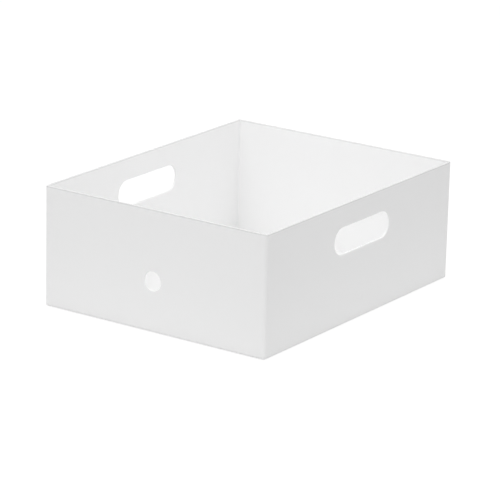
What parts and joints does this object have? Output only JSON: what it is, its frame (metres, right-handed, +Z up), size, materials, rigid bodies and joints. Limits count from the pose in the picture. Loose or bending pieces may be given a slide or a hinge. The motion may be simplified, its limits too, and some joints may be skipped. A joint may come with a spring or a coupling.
{
  "type": "file organizer box",
  "caption": "Open-topped rectangular file box in white plastic, with a stadium-shaped hand hole in each side wall, a round finger hole in the front wall and non-slip pads under the base.",
  "frame": {"origin": "centre of the box in plan, on the surface that its pads stand on", "axes": "+Z up, -Y out of the front wall with the finger hole, +X towards the right-hand side wall as seen from the front"},
  "size_m": [0.255, 0.32, 0.12],
  "materials": {
    "shell": "satin white polypropylene with a fine moulded texture",
    "pads": "matt soft rubber, pale grey"
  },
  "bodies": {
    "root": {"box_shell": "shell", "pad_front_left": "pads", "pad_front_right": "pads", "pad_back_left": "pads", "pad_back_right": "pads"}
  },
  "joints": []
}
